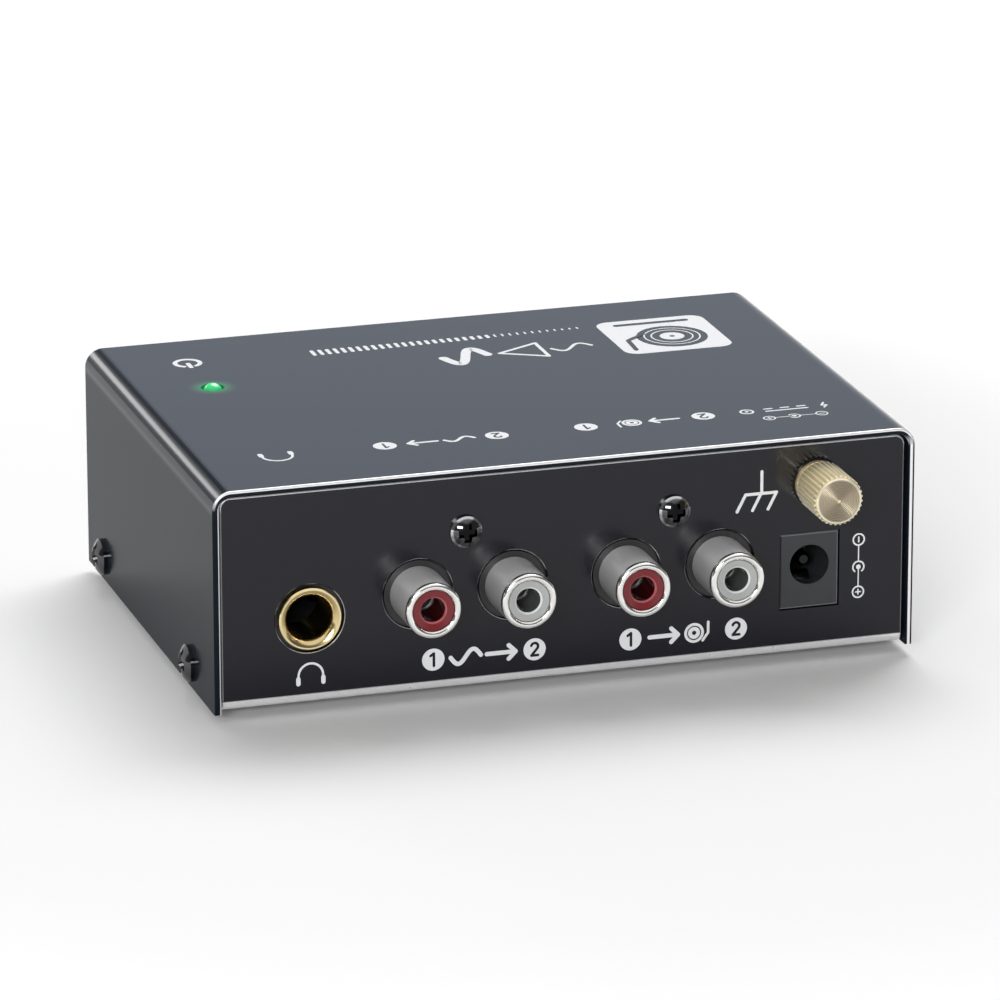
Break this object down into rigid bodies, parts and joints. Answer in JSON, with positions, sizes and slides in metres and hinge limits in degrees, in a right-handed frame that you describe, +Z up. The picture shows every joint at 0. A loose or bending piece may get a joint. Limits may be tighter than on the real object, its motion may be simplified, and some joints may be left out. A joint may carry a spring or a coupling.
{
  "type": "phono preamplifier",
  "caption": "Small phono preamplifier in a folded steel case with phono, headphone and power sockets, a ground terminal and a power light.",
  "frame": {"origin": "under the middle of the object, on the plane that the feet stand on", "axes": "+Z up, +X along the connector panel towards the ground terminal, -Y out of the connector panel"},
  "size_m": [0.1102, 0.0832, 0.0362],
  "materials": {
    "black_paint": "glossy",
    "black_screws": "satin",
    "dark_screws": "satin",
    "steel": "satin",
    "rubber": "matte",
    "board_laminate": "satin",
    "black_plastic": "satin",
    "nickel": "polished",
    "red_plastic": "satin",
    "white_plastic": "satin",
    "tinned_metal": "satin",
    "gold": "polished",
    "brass": "polished",
    "wire_cover": "satin",
    "green_light": "translucent",
    "film_box": "satin",
    "can_sleeve": "satin",
    "ceramic": "matte",
    "resistor_paint": "satin",
    "ferrite": "matte",
    "copper": "polished"
  },
  "bodies": {
    "case": {"top_cover": "black_paint", "chassis_tray": "black_paint", "cover_screws": "black_screws", "connector_screws": "dark_screws", "rubber_feet": "rubber", "circuit_board": "board_laminate", "board_standoffs": "steel", "board_screws": "steel", "line_out_housing": "black_plastic", "line_out_red_shell": "nickel", "line_out_white_shell": "nickel", "line_out_red_insert": "red_plastic", "line_out_white_insert": "white_plastic", "line_out_contacts": "tinned_metal", "line_out_ground_tags": "tinned_metal", "phono_in_housing": "black_plastic", "phono_in_red_shell": "nickel", "phono_in_white_shell": "nickel", "phono_in_red_insert": "red_plastic", "phono_in_white_insert": "white_plastic", "phono_in_contacts": "tinned_metal", "phono_in_ground_tags": "tinned_metal", "headphone_jack_body": "black_plastic", "headphone_jack_ferrule": "gold", "headphone_terminals": "tinned_metal", "power_jack_body": "black_plastic", "power_jack_pin": "nickel", "power_spring_terminal": "tinned_metal", "ground_stud": "steel", "ground_lock_washer": "steel", "ground_lug": "tinned_metal", "ground_wire": "wire_cover", "power_light": "green_light", "power_light_leads": "tinned_metal", "power_light_spacer": "black_plastic", "op_amps": "black_plastic", "op_amp_legs": "tinned_metal", "film_capacitors": "film_box", "small_capacitors": "can_sleeve", "large_capacitors": "can_sleeve", "ceramic_capacitors": "ceramic", "capacitor_leads": "tinned_metal", "resistors": "resistor_paint", "resistor_leads": "tinned_metal", "diode": "black_plastic", "diode_leads": "tinned_metal", "choke_core": "ferrite", "choke_winding": "copper", "choke_leads": "tinned_metal", "voltage_regulator": "black_plastic", "regulator_tab": "tinned_metal", "regulator_legs": "tinned_metal"},
    "thumb_nut": {"ground_thumb_nut": "brass"},
    "captive_washer": {"ground_washer": "brass"},
    "headphone_tip_leaf": {"headphone_tip_spring": "tinned_metal"},
    "headphone_ring_leaf": {"headphone_ring_spring": "tinned_metal"},
    "power_leaf": {"power_jack_spring": "tinned_metal"}
  },
  "joints": [
    {"name": "ground_nut_travel", "type": "slide", "parent": "case", "child": "captive_washer", "axis": [0, -1, 0], "range_m": [0, 0.0021]},
    {"name": "ground_nut_turn", "type": "hinge", "parent": "captive_washer", "child": "thumb_nut", "pos_m": [0.03875, -0.0324, 0.0279], "axis": [0, -1, 0], "range_deg": [0, 1081]},
    {"name": "headphone_tip_press", "type": "hinge", "parent": "case", "child": "headphone_tip_leaf", "pos_m": [-0.0389, -0.0098, 0.02017], "axis": [-1, 0, 0], "range_deg": [0, 3.5], "stiffness_Nm_per_rad": 0.05},
    {"name": "headphone_ring_press", "type": "hinge", "parent": "case", "child": "headphone_ring_leaf", "pos_m": [-0.03352, -0.0128, 0.0148], "axis": [0, 0, 1], "range_deg": [0, 3.5], "stiffness_Nm_per_rad": 0.05},
    {"name": "power_contact_press", "type": "hinge", "parent": "case", "child": "power_leaf", "pos_m": [0.0376, -0.0198, 0.01068], "axis": [1, 0, 0], "range_deg": [0, 3.5], "stiffness_Nm_per_rad": 0.05}
  ],
  "couplings": [
    {"joint": "ground_nut_turn", "follows": "ground_nut_travel", "rad_per_m": 8976}
  ]
}
